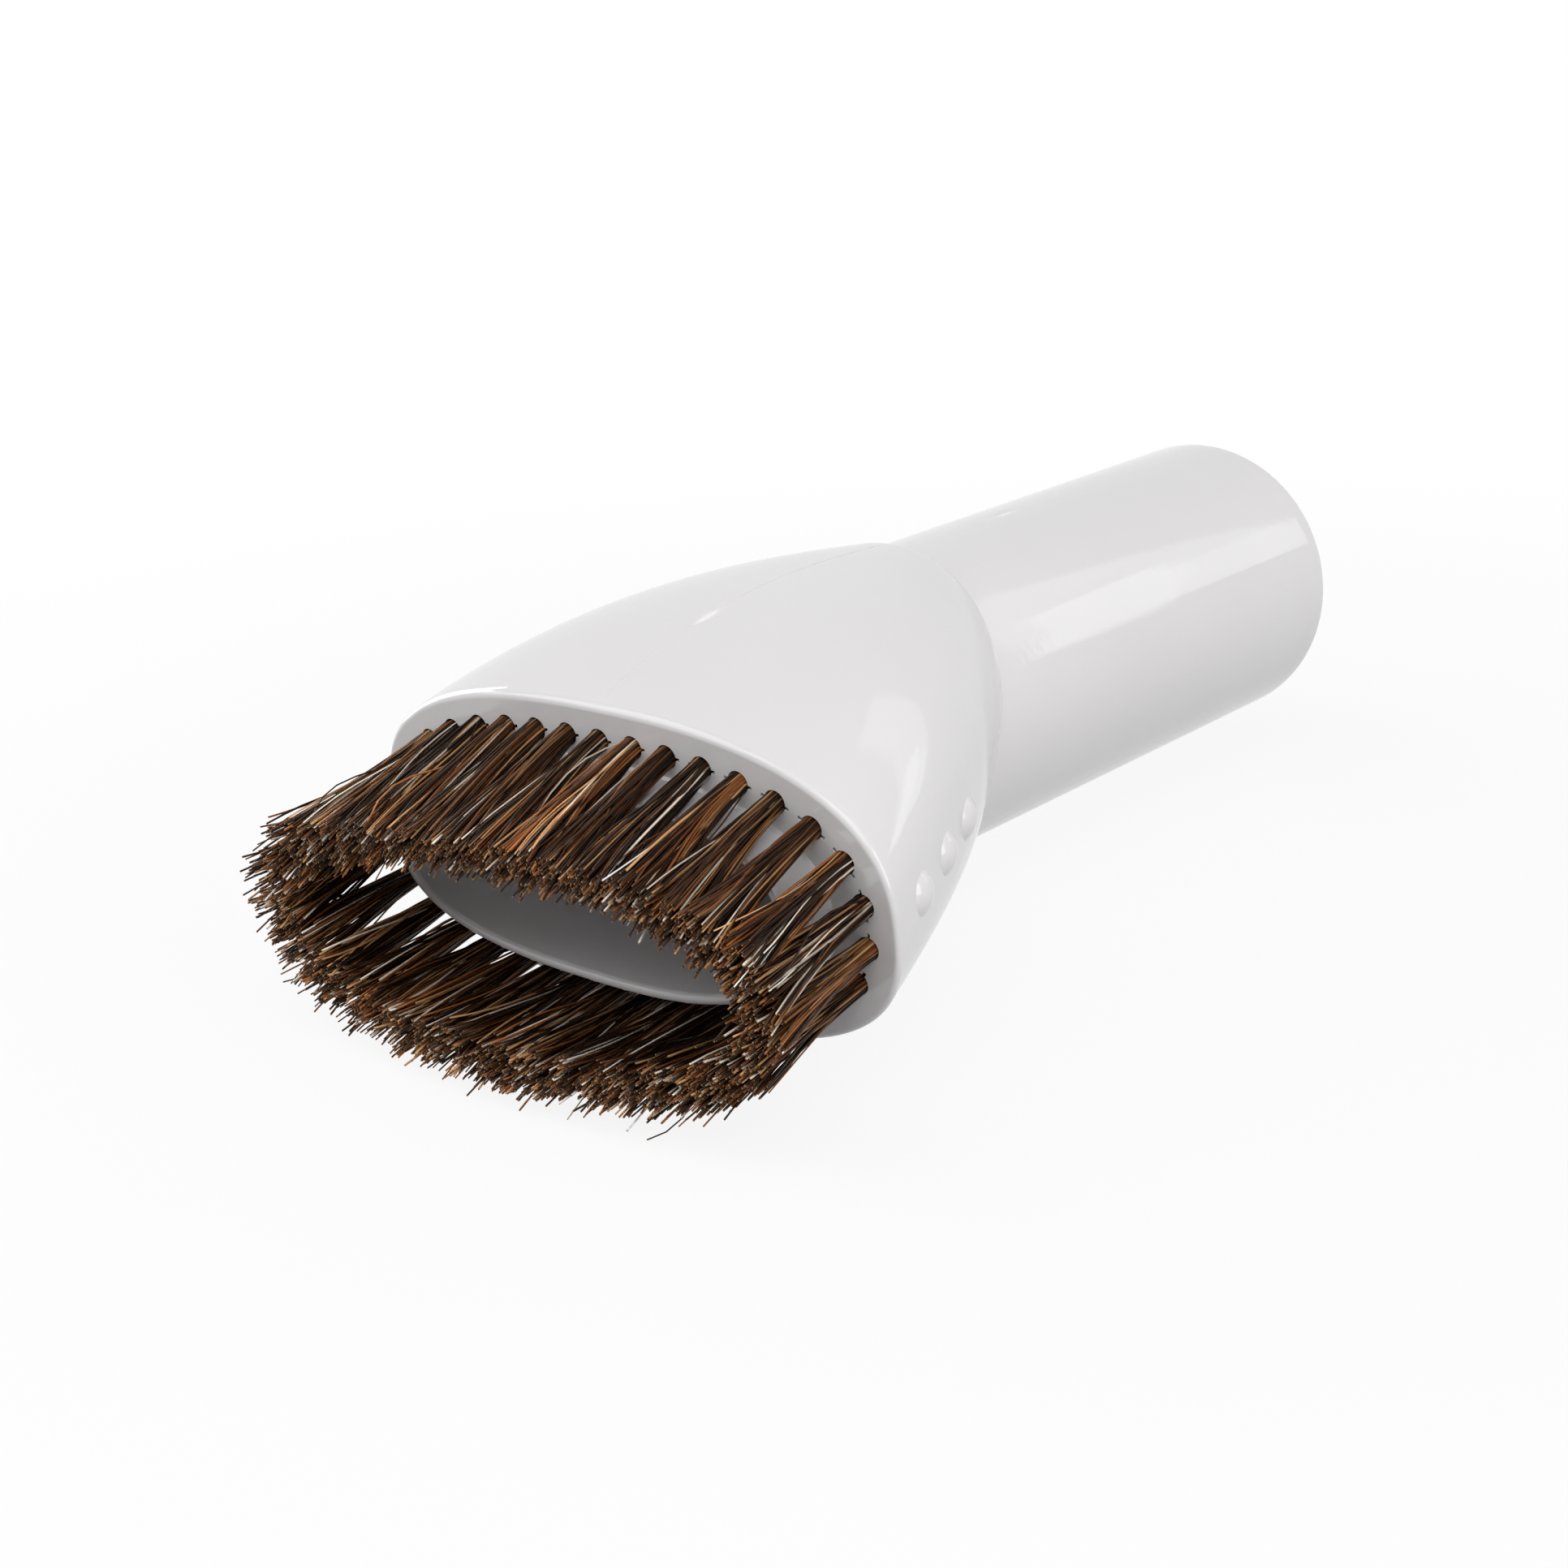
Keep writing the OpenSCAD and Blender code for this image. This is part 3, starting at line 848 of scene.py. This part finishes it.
def make_world():
    world = bpy.data.worlds.new("studio")
    bpy.context.scene.world = world
    world.use_nodes = True
    nodes, links = world.node_tree.nodes, world.node_tree.links
    background = nodes["Background"]
    background.inputs["Color"].default_value = WHITE
    strength = range_node(nodes, links, seen_ray(nodes, links), AMBIENT, 1.0)
    links.new(strength, background.inputs["Strength"])


LAMP_DISTANCE = 0.8
# Each lamp's name, angle round from +X, angle up, size, power and roll, in degrees, metres
# and watts
LAMPS = (
    ("right_box", -90, 45, (0.5, 0.5), 0.6, 0),
    ("right_low_box", -90, 15, (0.5, 0.5), 2.7, 0),
    ("front_right_box", -135, 45, (0.5, 0.5), 1.9, 0),
    ("front_box", 180, 50, (0.5, 0.5), 1.1, 0),
    ("left_box", 135, 38, (0.5, 0.5), 1.8, 0),
    ("left_low_box", 92, 15, (0.5, 0.5), 2.5, 0),
    ("strip_box", -23, 33, (0.17, 0.71), 0.27, -20.5),
    ("window_box", -30.8, 18, (0.076, 0.26), 0.055, -28.6),
    ("streak_box", -26.6, 15.4, (0.062, 0.163), 0.012, -27.0),
)


def softbox(name, round_angle, up_angle, size, power, roll):
    lamp = bpy.data.lights.new(name, "AREA")
    lamp.shape = "RECTANGLE"
    lamp.size, lamp.size_y = size
    lamp.energy = power
    obj = link_object(name, lamp)
    level = math.cos(math.radians(up_angle))
    x = level * math.cos(math.radians(round_angle))
    y = level * math.sin(math.radians(round_angle))
    away = Vector((x, y, math.sin(math.radians(up_angle))))
    obj.location = CENTRE + LAMP_DISTANCE * away
    obj.rotation_mode = "QUATERNION"
    aim = (-away).to_track_quat("-Z", "Y")
    obj.rotation_quaternion = aim @ Quaternion((0, 0, 1), math.radians(roll))


# The camera has the photograph's place and turn, from a fit to the part's own edges. Focal
# length and side of the image are in pixels, the sensor is in millimetres.
PHOTO_FOCAL, PHOTO_SIDE, SENSOR = 2500.0, 1932.0, 36.0
CAMERA_PLACE = Vector((-0.26111, -0.13912, 0.06871))
CAMERA_TURN = Vector((1.734, -0.857, 0.557))


def make_camera():
    data = bpy.data.cameras.new("camera")
    data.sensor_width = SENSOR
    data.lens = SENSOR * PHOTO_FOCAL / PHOTO_SIDE
    data.clip_start = 0.01
    camera = link_object("camera", data)
    to_camera = Matrix.Rotation(CAMERA_TURN.length, 3, CAMERA_TURN.normalized())
    flip = Matrix.Diagonal((1, -1, -1))
    turn = (flip @ to_camera).transposed().to_4x4()
    camera.matrix_world = Matrix.Translation(CAMERA_PLACE) @ turn
    bpy.context.scene.camera = camera


make_floor()
make_world()
for lamp_values in LAMPS:
    softbox(*lamp_values)
make_camera()

bpy.context.scene.view_settings.view_transform = "Standard"
